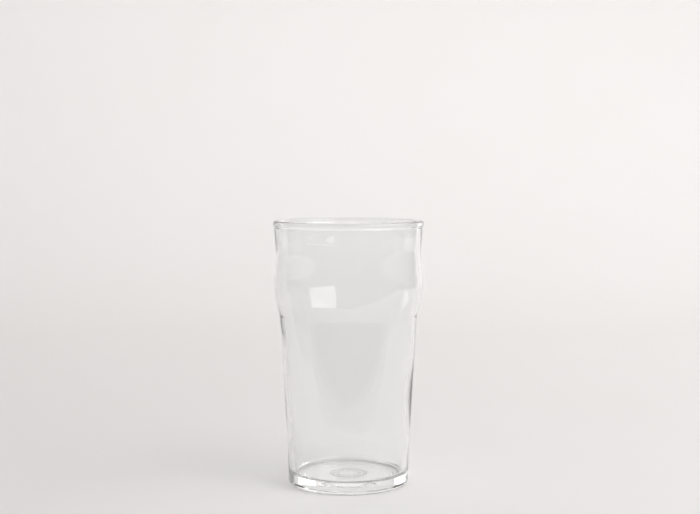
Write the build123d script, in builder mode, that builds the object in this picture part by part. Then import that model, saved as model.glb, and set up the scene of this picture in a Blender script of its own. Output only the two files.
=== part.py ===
from build123d import *

import os

# Mixing glass of the nonic pint kind: one piece of clear pressed and toughened glass.
# Millimetres, +Z up, origin at the centre of the ring that the glass stands on.

# Overall size
HEIGHT = 150.0
MOUTH_RADIUS = 42.0
BASE_RADIUS = 34.3

# Outside of the upper wall: depths below the lip, and steps from the radius at the mouth
BAND_DEPTH = 5.0
NECK_DEPTH = 19.0
NECK_STEP_IN = 0.9
BULGE_DEPTH = 36.5
BULGE_STEP_OUT = 0.4
SHOULDER_DEPTH = 54.0
SHOULDER_STEP_IN = 3.0
FLARE_ANGLE = 12.0

# Outside of the foot: nearly upright up to where the long taper starts
TAPER_START = 18.0
TAPER_STEP_OUT = 0.3

# Rounded bead round the lip
BEAD_PROUD = 0.7
BEAD_DEPTH = 2.6
BEAD_UNDERCUT = 0.8
LIP_FLAT = 0.3

# Glass thickness, measured level: at the floor, where the taper starts, at the shoulder, above it, at the lip
FLOOR_THICKNESS = 6.2
FOOT_WALL = 3.4
TAPER_WALL = 3.3
SHOULDER_WALL = 2.3
UPPER_WALL = 2.2
BAND_WALL = 2.6

# Foot: a flat ring to stand on, round a shallow recess
BEARING_WIDTH = 6.2
RECESS_DEPTH = 1.0
RECESS_SLOPE = 1.0

# Rounded corners
HEEL_ROUND = 2.2
RECESS_ROUND = 0.3
FLOOR_CORNER_ROUND = 2.5
TAPER_ROUND = 60.0
SHOULDER_ROUND = 8.0

# Raised mould mark in the recess: a ring round a circle of pips
MARK_RELIEF = 0.5
MARK_ROOT = 0.3
MARK_RING_RADIUS = 10.5
MARK_RING_WIDTH = 1.6
PIP_COUNT = 12
PIP_RADIUS = 1.0
PIP_CIRCLE_RADIUS = 6.8

# Places that follow from the sizes above
taper_radius = BASE_RADIUS + TAPER_STEP_OUT
shoulder_radius = MOUTH_RADIUS - SHOULDER_STEP_IN
bulge_radius = MOUTH_RADIUS + BULGE_STEP_OUT
neck_radius = MOUTH_RADIUS - NECK_STEP_IN
lip_radius = MOUTH_RADIUS + BEAD_PROUD
shoulder_height = HEIGHT - SHOULDER_DEPTH
bulge_height = HEIGHT - BULGE_DEPTH
neck_height = HEIGHT - NECK_DEPTH
band_height = HEIGHT - BAND_DEPTH
bead_bottom = HEIGHT - BEAD_DEPTH
bead_root = bead_bottom - BEAD_UNDERCUT
bearing_inner = BASE_RADIUS - HEEL_ROUND - BEARING_WIDTH
recess_radius = bearing_inner - RECESS_SLOPE
cavity_foot_radius = BASE_RADIUS - FOOT_WALL
cavity_mouth_radius = MOUTH_RADIUS - BAND_WALL
lip_round = (lip_radius - cavity_mouth_radius - LIP_FLAT) / 2

UPRIGHT = (0, 1)

os.makedirs("parts", exist_ok=True)


def wall_curve(foot, taper_inset=0, shoulder_inset=0, upper_inset=0, band_inset=0):
    """Draw one face of the wall from the foot up to the band below the lip, inset from the outside."""
    flare = Vector(0, 1).rotate(Axis.Z, -FLARE_ANGLE)
    taper = Vector(taper_radius - taper_inset, TAPER_START)
    shoulder = Vector(shoulder_radius - shoulder_inset, shoulder_height)
    bulge = Vector(bulge_radius - upper_inset, bulge_height)
    neck = Vector(neck_radius - upper_inset, neck_height)
    band = Vector(MOUTH_RADIUS - band_inset, band_height)
    Polyline(foot, taper, shoulder)
    Spline(shoulder, bulge, tangents=(flare, UPRIGHT))
    Spline(bulge, neck, tangents=(UPRIGHT, UPRIGHT))
    Spline(neck, band, tangents=(UPRIGHT, UPRIGHT))


def round_corner(outline, radius, height, rounding):
    """Round the corner of the outline that lies at a radius and height."""
    fillet(outline.vertices().sort_by_distance((radius, height))[0], radius=rounding)


with BuildPart() as glass_body:
    # The outside, turned round the upright axis as one solid with its foot recess
    with BuildSketch(Plane.XZ) as outside:
        with BuildLine():
            Polyline((BASE_RADIUS, 0), (bearing_inner, 0), (recess_radius, RECESS_DEPTH), (0, RECESS_DEPTH))
            Polyline((0, RECESS_DEPTH), (0, HEIGHT), (lip_radius, HEIGHT), (lip_radius, bead_bottom))
            Polyline((lip_radius, bead_bottom), (MOUTH_RADIUS, bead_root), (MOUTH_RADIUS, band_height))
            wall_curve(Vector(BASE_RADIUS, 0))
        make_face()
        round_corner(outside, BASE_RADIUS, 0, HEEL_ROUND)
        round_corner(outside, bearing_inner, 0, RECESS_ROUND)
        round_corner(outside, recess_radius, RECESS_DEPTH, RECESS_ROUND)
        round_corner(outside, taper_radius, TAPER_START, TAPER_ROUND)
        round_corner(outside, shoulder_radius, shoulder_height, SHOULDER_ROUND)
        round_corner(outside, lip_radius, HEIGHT, lip_round)
        round_corner(outside, lip_radius, bead_bottom, BEAD_UNDERCUT)
    revolve(axis=Axis.Z)

    # The cavity that holds the drink
    with BuildSketch(Plane.XZ) as cavity:
        with BuildLine():
            Polyline((cavity_foot_radius, FLOOR_THICKNESS), (0, FLOOR_THICKNESS), (0, HEIGHT))
            Polyline((0, HEIGHT), (cavity_mouth_radius, HEIGHT), (cavity_mouth_radius, band_height))
            cavity_foot = Vector(cavity_foot_radius, FLOOR_THICKNESS)
            wall_curve(cavity_foot, TAPER_WALL, SHOULDER_WALL, UPPER_WALL, BAND_WALL)
        make_face()
        round_corner(cavity, cavity_foot_radius, FLOOR_THICKNESS, FLOOR_CORNER_ROUND)
        round_corner(cavity, taper_radius - TAPER_WALL, TAPER_START, TAPER_ROUND)
        round_corner(cavity, shoulder_radius - SHOULDER_WALL, shoulder_height, SHOULDER_ROUND)
    revolve(axis=Axis.Z, mode=Mode.SUBTRACT)
    fillet(edges().group_by(Axis.Z)[-1].sort_by(SortBy.RADIUS)[0], radius=lip_round)

    # The mould mark, raised downwards from the ceiling of the recess
    with BuildSketch(Plane.XY.offset(RECESS_DEPTH - MARK_RELIEF)):
        Circle(MARK_RING_RADIUS)
        Circle(MARK_RING_RADIUS - MARK_RING_WIDTH, mode=Mode.SUBTRACT)
        with PolarLocations(PIP_CIRCLE_RADIUS, PIP_COUNT):
            Circle(PIP_RADIUS)
    extrude(amount=MARK_RELIEF + MARK_ROOT)

glass_body.part.label = "glass_body"
export_step(glass_body.part, "parts/glass_body.step")
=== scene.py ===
import math

import bpy
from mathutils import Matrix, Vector


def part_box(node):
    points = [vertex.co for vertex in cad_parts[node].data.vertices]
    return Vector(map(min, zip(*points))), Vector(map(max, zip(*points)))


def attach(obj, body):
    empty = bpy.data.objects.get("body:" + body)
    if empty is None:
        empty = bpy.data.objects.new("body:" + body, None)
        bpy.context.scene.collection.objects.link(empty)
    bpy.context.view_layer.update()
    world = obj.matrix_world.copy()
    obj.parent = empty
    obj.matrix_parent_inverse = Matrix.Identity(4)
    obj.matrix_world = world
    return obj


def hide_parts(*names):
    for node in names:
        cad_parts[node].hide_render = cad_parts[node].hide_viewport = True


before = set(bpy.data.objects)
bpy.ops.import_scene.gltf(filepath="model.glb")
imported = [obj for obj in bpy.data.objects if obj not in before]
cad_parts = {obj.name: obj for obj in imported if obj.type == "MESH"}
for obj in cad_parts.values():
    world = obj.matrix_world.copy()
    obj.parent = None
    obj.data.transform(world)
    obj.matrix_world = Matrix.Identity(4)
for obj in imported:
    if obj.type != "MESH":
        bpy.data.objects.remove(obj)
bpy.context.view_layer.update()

MM = 0.001

# ---------------------------------------------------------------- sizes of the glass, in millimetres
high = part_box("glass_body")[1]
HEIGHT = high.z / MM
LIP_RADIUS = high.x / MM
BEAD_PROUD = 0.7
MOUTH_RADIUS = LIP_RADIUS - BEAD_PROUD
BASE_RADIUS = 34.3

# Outside of the upper wall: depths below the lip, and steps from the radius at the mouth
BAND_DEPTH = 5.0
NECK_DEPTH = 19.0
NECK_STEP_IN = 0.9
BULGE_DEPTH = 36.5
BULGE_STEP_OUT = 0.4
SHOULDER_DEPTH = 54.0
SHOULDER_STEP_IN = 3.0
FLARE_ANGLE = 12.0

# Outside of the foot: nearly upright up to where the long taper starts
TAPER_START = 18.0
TAPER_STEP_OUT = 0.3

# Rounded bead round the lip
BEAD_DEPTH = 2.6
BEAD_UNDERCUT = 0.8
LIP_FLAT = 0.3

# Glass thickness, from the foot up to the lip
FLOOR_THICKNESS = 6.2
FOOT_WALL = 3.4
TAPER_WALL = 3.3
SHOULDER_WALL = 2.3
UPPER_WALL = 2.2
BAND_WALL = 2.6

# Rounded corners
HEEL_ROUND = 2.2
RECESS_ROUND = 0.3
FLOOR_CORNER_ROUND = 2.5
TAPER_ROUND = 60.0
SHOULDER_ROUND = 8.0
LIP_ROUND = (LIP_RADIUS - MOUTH_RADIUS + BAND_WALL - LIP_FLAT) / 2

# Foot: a flat ring to stand on, round a shallow recess
BEARING_WIDTH = 6.2
RECESS_DEPTH = 1.0
RECESS_SLOPE = 1.0
BEARING_INNER = BASE_RADIUS - HEEL_ROUND - BEARING_WIDTH

# Raised mould mark in the recess: a ring round a circle of pips, with the soft edges that a mould leaves
MARK_RELIEF = 0.5
MARK_RING_RADIUS = 10.5
MARK_RING_WIDTH = 1.6
PIP_COUNT = 12
PIP_RADIUS = 1.0
PIP_CIRCLE_RADIUS = 6.8
MARK_SOFTNESS = 0.4

# Slow ripples that pressing leaves on the inside of the wall
RIPPLE = 0.045
RIPPLE_FADE = 8.0
RIPPLES = [(2, 0.055, 0.4), (3, -0.08, 2.1), (5, 0.12, 4.4)]

# How finely the glass is turned
SEGMENTS = 160
RING_SPACING = 1.5
MARK_SPACING = 0.2
CORNER_STEPS = 12
CURVE_STEPS = 24


# ---------------------------------------------------------------- outline of the glass
def hermite(start, end, start_way, end_way):
    """Curve from start to end that leaves and arrives along two unit directions."""
    reach = (end - start).length
    points = []
    for i in range(1, CURVE_STEPS + 1):
        t = i / CURVE_STEPS
        points.append(
            start * (2 * t**3 - 3 * t**2 + 1)
            + start_way * reach * (t**3 - 2 * t**2 + t)
            + end * (3 * t**2 - 2 * t**3)
            + end_way * reach * (t**3 - t**2)
        )
    return points


def rounded(before, corner, after, radius):
    """Arc of a radius that replaces the corner between two straight or nearly straight runs."""
    way_in = (corner - before).normalized()
    way_out = (after - corner).normalized()
    turn = way_in.angle(way_out)
    start = corner - way_in * radius * math.tan(turn / 2)
    side = Vector((-way_in.y, way_in.x))
    if side.dot(way_out) < 0:
        side = -side
    centre = start + side * radius
    points = []
    for i in range(CORNER_STEPS + 1):
        a = turn * i / CORNER_STEPS
        points.append(centre - side * radius * math.cos(a) + way_in * radius * math.sin(a))
    return points


def wall_curve(foot, taper_inset=0, shoulder_inset=0, upper_inset=0, band_inset=0):
    """One face of the wall from the foot up to the band below the lip, inset from the outside."""
    up = Vector((0, 1))
    flare = Vector((math.sin(math.radians(FLARE_ANGLE)), math.cos(math.radians(FLARE_ANGLE))))
    taper = Vector((BASE_RADIUS + TAPER_STEP_OUT - taper_inset, TAPER_START))
    shoulder = Vector((MOUTH_RADIUS - SHOULDER_STEP_IN - shoulder_inset, HEIGHT - SHOULDER_DEPTH))
    bulge = Vector((MOUTH_RADIUS + BULGE_STEP_OUT - upper_inset, HEIGHT - BULGE_DEPTH))
    neck = Vector((MOUTH_RADIUS - NECK_STEP_IN - upper_inset, HEIGHT - NECK_DEPTH))
    band = Vector((MOUTH_RADIUS - band_inset, HEIGHT - BAND_DEPTH))
    flank = hermite(shoulder, bulge, flare, up)
    return (
        rounded(foot, taper, shoulder, TAPER_ROUND)
        + rounded(taper, shoulder, flank[0], SHOULDER_ROUND)
        + flank[1:]
        + hermite(bulge, neck, up, up)
        + hermite(neck, band, up, up)
    )


def outside_outline():
    """From the middle of the foot recess out over the heel and up to the top of the lip."""
    recess_centre = Vector((0, RECESS_DEPTH))
    recess_corner = Vector((BEARING_INNER - RECESS_SLOPE, RECESS_DEPTH))
    bearing_corner = Vector((BEARING_INNER, 0))
    heel = Vector((BASE_RADIUS, 0))
    taper = Vector((BASE_RADIUS + TAPER_STEP_OUT, TAPER_START))
    bead_root = Vector((MOUTH_RADIUS, HEIGHT - BEAD_DEPTH - BEAD_UNDERCUT))
    bead_bottom = Vector((LIP_RADIUS, HEIGHT - BEAD_DEPTH))
    lip_outer = Vector((LIP_RADIUS, HEIGHT))
    lip_inner = Vector((MOUTH_RADIUS - BAND_WALL, HEIGHT))
    return (
        [recess_centre]
        + rounded(recess_centre, recess_corner, bearing_corner, RECESS_ROUND)
        + rounded(recess_corner, bearing_corner, heel, RECESS_ROUND)
        + rounded(bearing_corner, heel, taper, HEEL_ROUND)
        + wall_curve(heel)
        + [bead_root]
        + rounded(bead_root, bead_bottom, lip_outer, BEAD_UNDERCUT)
        + rounded(bead_bottom, lip_outer, lip_inner, LIP_ROUND)
    )


def inside_outline():
    """From the inner edge of the lip down the cavity to the middle of its floor."""
    lip_outer = Vector((LIP_RADIUS, HEIGHT))
    lip_inner = Vector((MOUTH_RADIUS - BAND_WALL, HEIGHT))
    band = Vector((MOUTH_RADIUS - BAND_WALL, HEIGHT - BAND_DEPTH))
    taper = Vector((BASE_RADIUS + TAPER_STEP_OUT - TAPER_WALL, TAPER_START))
    corner = Vector((BASE_RADIUS - FOOT_WALL, FLOOR_THICKNESS))
    floor_centre = Vector((0, FLOOR_THICKNESS))
    upwards = (
        [floor_centre]
        + rounded(floor_centre, corner, taper, FLOOR_CORNER_ROUND)
        + wall_curve(corner, TAPER_WALL, SHOULDER_WALL, UPPER_WALL, BAND_WALL)
        + rounded(band, lip_inner, lip_outer, LIP_ROUND)
    )
    return upwards[::-1]


def evenly_spaced(outline):
    """The outline with points added on its long runs, closest together across the mould mark."""
    mark_radius = MARK_RING_RADIUS + MARK_SOFTNESS
    points = [outline[0]]
    for point in outline[1:]:
        start = points[-1]
        reach = (point - start).length
        if reach < MM:
            continue
        in_recess = max(start.y, point.y) <= RECESS_DEPTH
        steps = math.ceil(reach / (MARK_SPACING if in_recess and start.x < mark_radius else RING_SPACING))
        points += [start.lerp(point, i / steps) for i in range(1, steps + 1)]
    return points


# ---------------------------------------------------------------- the glass as a mesh
def eased(t):
    """Smooth step from 0 to 1."""
    t = min(1, max(0, t))
    return t * t * (3 - 2 * t)


def mark_drop(radius, angle):
    """How far the mould mark stands down from the ceiling of the recess."""
    ring_gap = abs(radius - MARK_RING_RADIUS + MARK_RING_WIDTH / 2) - MARK_RING_WIDTH / 2
    pip_turn = 2 * math.pi / PIP_COUNT
    off = angle - round(angle / pip_turn) * pip_turn
    pip_gap = math.hypot(radius * math.cos(off) - PIP_CIRCLE_RADIUS, radius * math.sin(off)) - PIP_RADIUS
    return MARK_RELIEF * eased(0.5 - min(ring_gap, pip_gap) / MARK_SOFTNESS)


def ripple(height, angle):
    """How far the inside of the wall strays from true at a height and an angle."""
    above_floor = height - FLOOR_THICKNESS - RIPPLE_FADE
    fade = eased(above_floor / RIPPLE_FADE) * eased((HEIGHT - height) / RIPPLE_FADE)
    waves = sum(math.sin(turns * angle + rise * height + start) for turns, rise, start in RIPPLES)
    return RIPPLE * fade * waves


def glass_mesh(name):
    """One closed mesh turned round Z, with the mould mark and the ripples worked into it."""
    outside = evenly_spaced(outside_outline())[1:]
    inside = evenly_spaced(inside_outline())[:-1]
    rings = outside + inside
    vertices = [(0, 0, RECESS_DEPTH * MM)]
    for k, ring in enumerate(rings):
        for i in range(SEGMENTS):
            angle = 2 * math.pi * i / SEGMENTS
            radius, height = ring
            if k >= len(outside):
                radius += ripple(height, angle)
            elif height == RECESS_DEPTH:
                height -= mark_drop(radius, angle)
            vertices.append((radius * MM * math.cos(angle), radius * MM * math.sin(angle), height * MM))
    vertices.append((0, 0, FLOOR_THICKNESS * MM))
    faces = []
    last_ring = 1 + (len(rings) - 1) * SEGMENTS
    for i in range(SEGMENTS):
        j = (i + 1) % SEGMENTS
        faces.append((0, 1 + j, 1 + i))
        for a in range(1, last_ring, SEGMENTS):
            faces.append((a + i, a + j, a + j + SEGMENTS, a + i + SEGMENTS))
        faces.append((last_ring + i, last_ring + j, len(vertices) - 1))
    mesh = bpy.data.meshes.new(name)
    mesh.from_pydata(vertices, [], faces)
    mesh.shade_smooth()
    return mesh


def add_object(name, data):
    item = bpy.data.objects.new(name, data)
    bpy.context.scene.collection.objects.link(item)
    return item


# ---------------------------------------------------------------- shader maths
class Wire:
    """A number socket of a shader; sums written on it add Math nodes."""

    def __init__(self, nodes, socket):
        self.nodes = nodes
        self.socket = socket

    def maths(self, operation, first, second):
        return self.nodes.add("ShaderNodeMath", {"operation": operation}, {0: first, 1: second})

    def __add__(self, other):
        return self.maths("ADD", self, other)

    def __sub__(self, other):
        return self.maths("SUBTRACT", self, other)

    def __rsub__(self, other):
        return self.maths("SUBTRACT", other, self)

    def __mul__(self, other):
        return self.maths("MULTIPLY", self, other)

    __radd__ = __add__
    __rmul__ = __mul__


class Nodes:
    """The nodes of one material or of the room; add() takes a node's type, its settings and its sockets."""

    def __init__(self, owner):
        owner.use_nodes = True
        self.tree = owner.node_tree

    def fill(self, node, sockets):
        for key, value in sockets.items():
            if isinstance(value, Wire):
                self.tree.links.new(value.socket, node.inputs[key])
            else:
                node.inputs[key].default_value = value

    def add(self, kind, settings, sockets, output=0):
        node = self.tree.nodes.new(kind)
        for key, value in settings.items():
            setattr(node, key, value)
        self.fill(node, sockets)
        return Wire(self, node.outputs[output])

    def shade(self, sockets):
        self.fill(self.tree.nodes["Principled BSDF"], sockets)

    def coordinates(self, kind):
        return self.add("ShaderNodeTexCoord", {}, {}, kind)

    def height(self, place):
        return self.add("ShaderNodeSeparateXYZ", {}, {"Vector": place}, "Z")

    def reach(self, place):
        """Distance from the origin."""
        return self.add("ShaderNodeVectorMath", {"operation": "LENGTH"}, {0: place}, "Value")

    def noise(self, place, scale, detail=2.0):
        """Soft noise round 0.5, with about this many blotches in a metre."""
        return self.add("ShaderNodeTexNoise", {}, {"Vector": place, "Scale": scale, "Detail": detail})

    def between(self, value, start, end):
        """0 below start, 1 above end, and smooth in between."""
        sockets = {"Value": value, "From Min": start, "From Max": end}
        return self.add("ShaderNodeMapRange", {"interpolation_type": "SMOOTHSTEP"}, sockets)

    def blend(self, share, first, second):
        """Colour that goes from the first to the second as share goes from 0 to 1."""
        sockets = {"Factor": share, "A": first, "B": second}
        return self.add("ShaderNodeMix", {"data_type": "RGBA"}, sockets, "Result")

    def bump(self, height, depth):
        """Surface relief from a height of 0 to 1, as deep as this in metres."""
        return self.add("ShaderNodeBump", {}, {"Height": height, "Distance": depth})


# ---------------------------------------------------------------- materials
HAZE = 0.02
HAZE_SCALE = 30.0
WAVE_SCALE = 45.0
WAVE_DEPTH = 0.02
WEAR = 0.22
GRIT_SCALE = 2600.0
# Painted shade: how strongly the mould mark and the heel are tinted grey, and the heights above the table
# where that tint fades out
MARK_PAINTED_SHADE = 0.9
HEEL_PAINTED_SHADE = 0.3
WORN_HEIGHT = 0.3
PAINTED_SHADE_FADE = 0.6
PAINTED_SHADE_TOP = 0.95
RECESS_EDGE = BEARING_INNER + 0.1
RECESS_EDGE_FADE = 0.5

WATER_WHITE = (1.0, 1.0, 1.0, 1)
FAINT_BLUE = (0.985, 0.995, 1.0, 1)
# Grey of the painted shade on the mould mark and the heel
PAINTED_SHADE_GREY = (0.3, 0.3, 0.29, 1)


def clear_pressed_glass():
    """Clear fire-polished glass: slow waves, a trace of haze, a worn foot, and painted shade that tints the
    mould mark, the recess wall and the heel grey.
    """
    material = bpy.data.materials.new("clear_pressed_glass")
    nodes = Nodes(material)
    place = nodes.coordinates("Object")
    waves = nodes.noise(place, WAVE_SCALE, 1.0)
    haze = nodes.between(nodes.noise(place, HAZE_SCALE, 4.0), 0.5, 0.75)
    grit = nodes.between(nodes.noise(place, GRIT_SCALE), 0.45, 0.6)
    rise = nodes.height(place)
    off_table = nodes.between(rise, 0.0, WORN_HEIGHT * MM)
    below_ceiling = 1 - nodes.between(rise, PAINTED_SHADE_FADE * MM, PAINTED_SHADE_TOP * MM)
    edge = RECESS_EDGE * MM
    outside_recess = nodes.between(nodes.reach(place), edge, edge + RECESS_EDGE_FADE * MM)
    # Painted shade: a grey tint on the mould mark, the recess wall and the lower heel, standing in for dark
    # reflections and the contact shadow under the foot
    painted_shade = off_table * below_ceiling * (MARK_PAINTED_SHADE + outside_recess * (HEEL_PAINTED_SHADE - MARK_PAINTED_SHADE))
    nodes.shade({
        "IOR": 1.52,
        "Transmission Weight": 1.0,
        "Base Color": nodes.blend(painted_shade, nodes.blend(waves, WATER_WHITE, FAINT_BLUE), PAINTED_SHADE_GREY),
        "Roughness": haze * HAZE + (1 - off_table) * grit * WEAR,
        "Normal": nodes.bump(waves, WAVE_DEPTH * MM),
    })
    return material


PAPER_SHADE = (0.852, 0.832, 0.816, 1)
PAPER_LIGHT = (0.868, 0.852, 0.84, 1)
MOTTLE_SCALE = 6.0
TOOTH_SCALE = 900.0
TOOTH_DEPTH = 0.03
PAPER_ROUGHNESS = 0.86


def pale_paper():
    """Matt off-white background paper with a faint mottle and a fine tooth."""
    material = bpy.data.materials.new("pale_paper")
    nodes = Nodes(material)
    place = nodes.coordinates("Object")
    mottle = nodes.noise(place, MOTTLE_SCALE, 3.0)
    tooth = nodes.noise(place, TOOTH_SCALE)
    nodes.shade({
        "Specular IOR Level": 0.1,
        "Base Color": nodes.blend(mottle, PAPER_SHADE, PAPER_LIGHT),
        "Roughness": PAPER_ROUGHNESS + tooth * 0.1,
        "Normal": nodes.bump(tooth, TOOTH_DEPTH * MM),
    })
    return material


# ---------------------------------------------------------------- the glass
glass = add_object("mixing_glass", glass_mesh("mixing_glass"))
glass.data.materials.append(clear_pressed_glass())
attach(glass, "root")
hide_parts("glass_body")

# ---------------------------------------------------------------- stage, in millimetres
TABLE_FRONT = -196.0
TABLE_RIGHT = 1000.0
TABLE_GAP = 0.1
PAPER_LEFT = -2500.0
PAPER_RIGHT = 1800.0
PAPER_TOP = 2300.0
CURVE_START = 700.0
CURVE_RADIUS = 500.0
CURVE_SPANS = 24


def studio_sweep():
    """Pale table top that ends a hand's length in front of the glass and curves up into the backdrop."""
    path = [(TABLE_FRONT, 0.0)]
    for i in range(CURVE_SPANS + 1):
        a = math.pi / 2 * i / CURVE_SPANS
        path.append((CURVE_START + CURVE_RADIUS * math.sin(a), CURVE_RADIUS * (1 - math.cos(a))))
    path.append((CURVE_START + CURVE_RADIUS, PAPER_TOP))
    vertices = []
    for y, z in path:
        right = TABLE_RIGHT + (PAPER_RIGHT - TABLE_RIGHT) * min(1, z / CURVE_RADIUS)
        vertices += [(x * MM, y * MM, (z - TABLE_GAP) * MM) for x in (PAPER_LEFT, right)]
    faces = [(2 * i, 2 * i + 1, 2 * i + 3, 2 * i + 2) for i in range(len(path) - 1)]
    mesh = bpy.data.meshes.new("studio_sweep")
    mesh.from_pydata(vertices, [], faces)
    mesh.shade_smooth()
    return mesh


sweep = add_object("studio_sweep", studio_sweep())
sweep.data.materials.append(pale_paper())


def softbox(name, place, aim, width, height, power, spread):
    """Rectangular area light at a place, turned to a point: metres, watts and degrees of spread."""
    light = bpy.data.lights.new(name, "AREA")
    light.shape = "RECTANGLE"
    light.size = width
    light.size_y = height
    light.energy = power
    light.spread = math.radians(spread)
    lamp = add_object(name, light)
    lamp.visible_camera = False
    lamp.location = place
    lamp.rotation_euler = (Vector(place) - Vector(aim)).to_track_quat("Z", "Y").to_euler()


def round_glass(azimuth, elevation):
    """Place round the middle of the glass; azimuth 0 is the camera's side, positive to its right."""
    a, e = math.radians(azimuth), math.radians(elevation)
    way = Vector((math.sin(a) * math.cos(e), -math.cos(a) * math.cos(e), math.sin(e)))
    return GLASS_MIDDLE + way * LIGHT_DISTANCE


# The key softbox makes the bright patch on the shoulder, the two cards the bright ends of the foot
GLASS_MIDDLE = Vector((0, 0, 0.08))
LIGHT_DISTANCE = 1.1
softbox("key_softbox", round_glass(48.8, 32), GLASS_MIDDLE, 0.99, 0.75, 4.8, 180)
softbox("ceiling_light", (1.8, -0.8, 2.2), (0.6, 0.6, 0.0), 2.0, 1.4, 8.5, 120)
softbox("backdrop_light", (-0.6, -1.2, 2.4), (-0.4, 1.2, 1.2), 1.5, 1.0, 6.3, 60)
softbox("side_light", (1.6, 0.2, 1.2), (0.6, 1.2, 0.5), 0.8, 0.8, 3.8, 120)
softbox("right_card", round_glass(147, 14), GLASS_MIDDLE, 0.4, 0.25, 0.055, 60)
softbox("left_card", round_glass(-127, 14), GLASS_MIDDLE, 0.6, 0.25, 0.065, 60)

ROOM_DIM = 0.28
ROOM_BRIGHT = 0.5
WALL_TOP = 0.35
CEILING_START = 0.8


def studio_room():
    """Grey room that grows pale towards its ceiling."""
    room = bpy.data.worlds.new("studio_room")
    nodes = Nodes(room)
    rise = nodes.between(nodes.height(nodes.coordinates("Generated")), WALL_TOP, CEILING_START)
    strength = ROOM_DIM + rise * (ROOM_BRIGHT - ROOM_DIM)
    nodes.fill(nodes.tree.nodes["Background"], {"Color": (1, 1, 1, 1), "Strength": strength})
    return room


scene = bpy.context.scene
scene.world = studio_room()
scene.view_settings.view_transform = "Standard"

# Light has to pass the walls and the floor of the glass several times, sharply, to reach the table under it
GLASS_BOUNCES = 20
scene.cycles.blur_glossy = 0
scene.cycles.max_bounces = GLASS_BOUNCES
scene.cycles.transmission_bounces = GLASS_BOUNCES
scene.cycles.glossy_bounces = GLASS_BOUNCES

# ---------------------------------------------------------------- camera
CAMERA_DISTANCE = 0.750
CAMERA_HEIGHT = 0.182
CAMERA_PITCH = 4.025
LENS = 68.04
SENSOR_WIDTH = 36.0
SIDE_SHIFT = 0.0023
camera = add_object("camera", bpy.data.cameras.new("camera"))
camera.data.lens = LENS
camera.data.sensor_width = SENSOR_WIDTH
camera.data.shift_x = SIDE_SHIFT
camera.location = (0, -CAMERA_DISTANCE, CAMERA_HEIGHT)
camera.rotation_euler = (math.radians(90 - CAMERA_PITCH), 0, 0)
scene.camera = camera
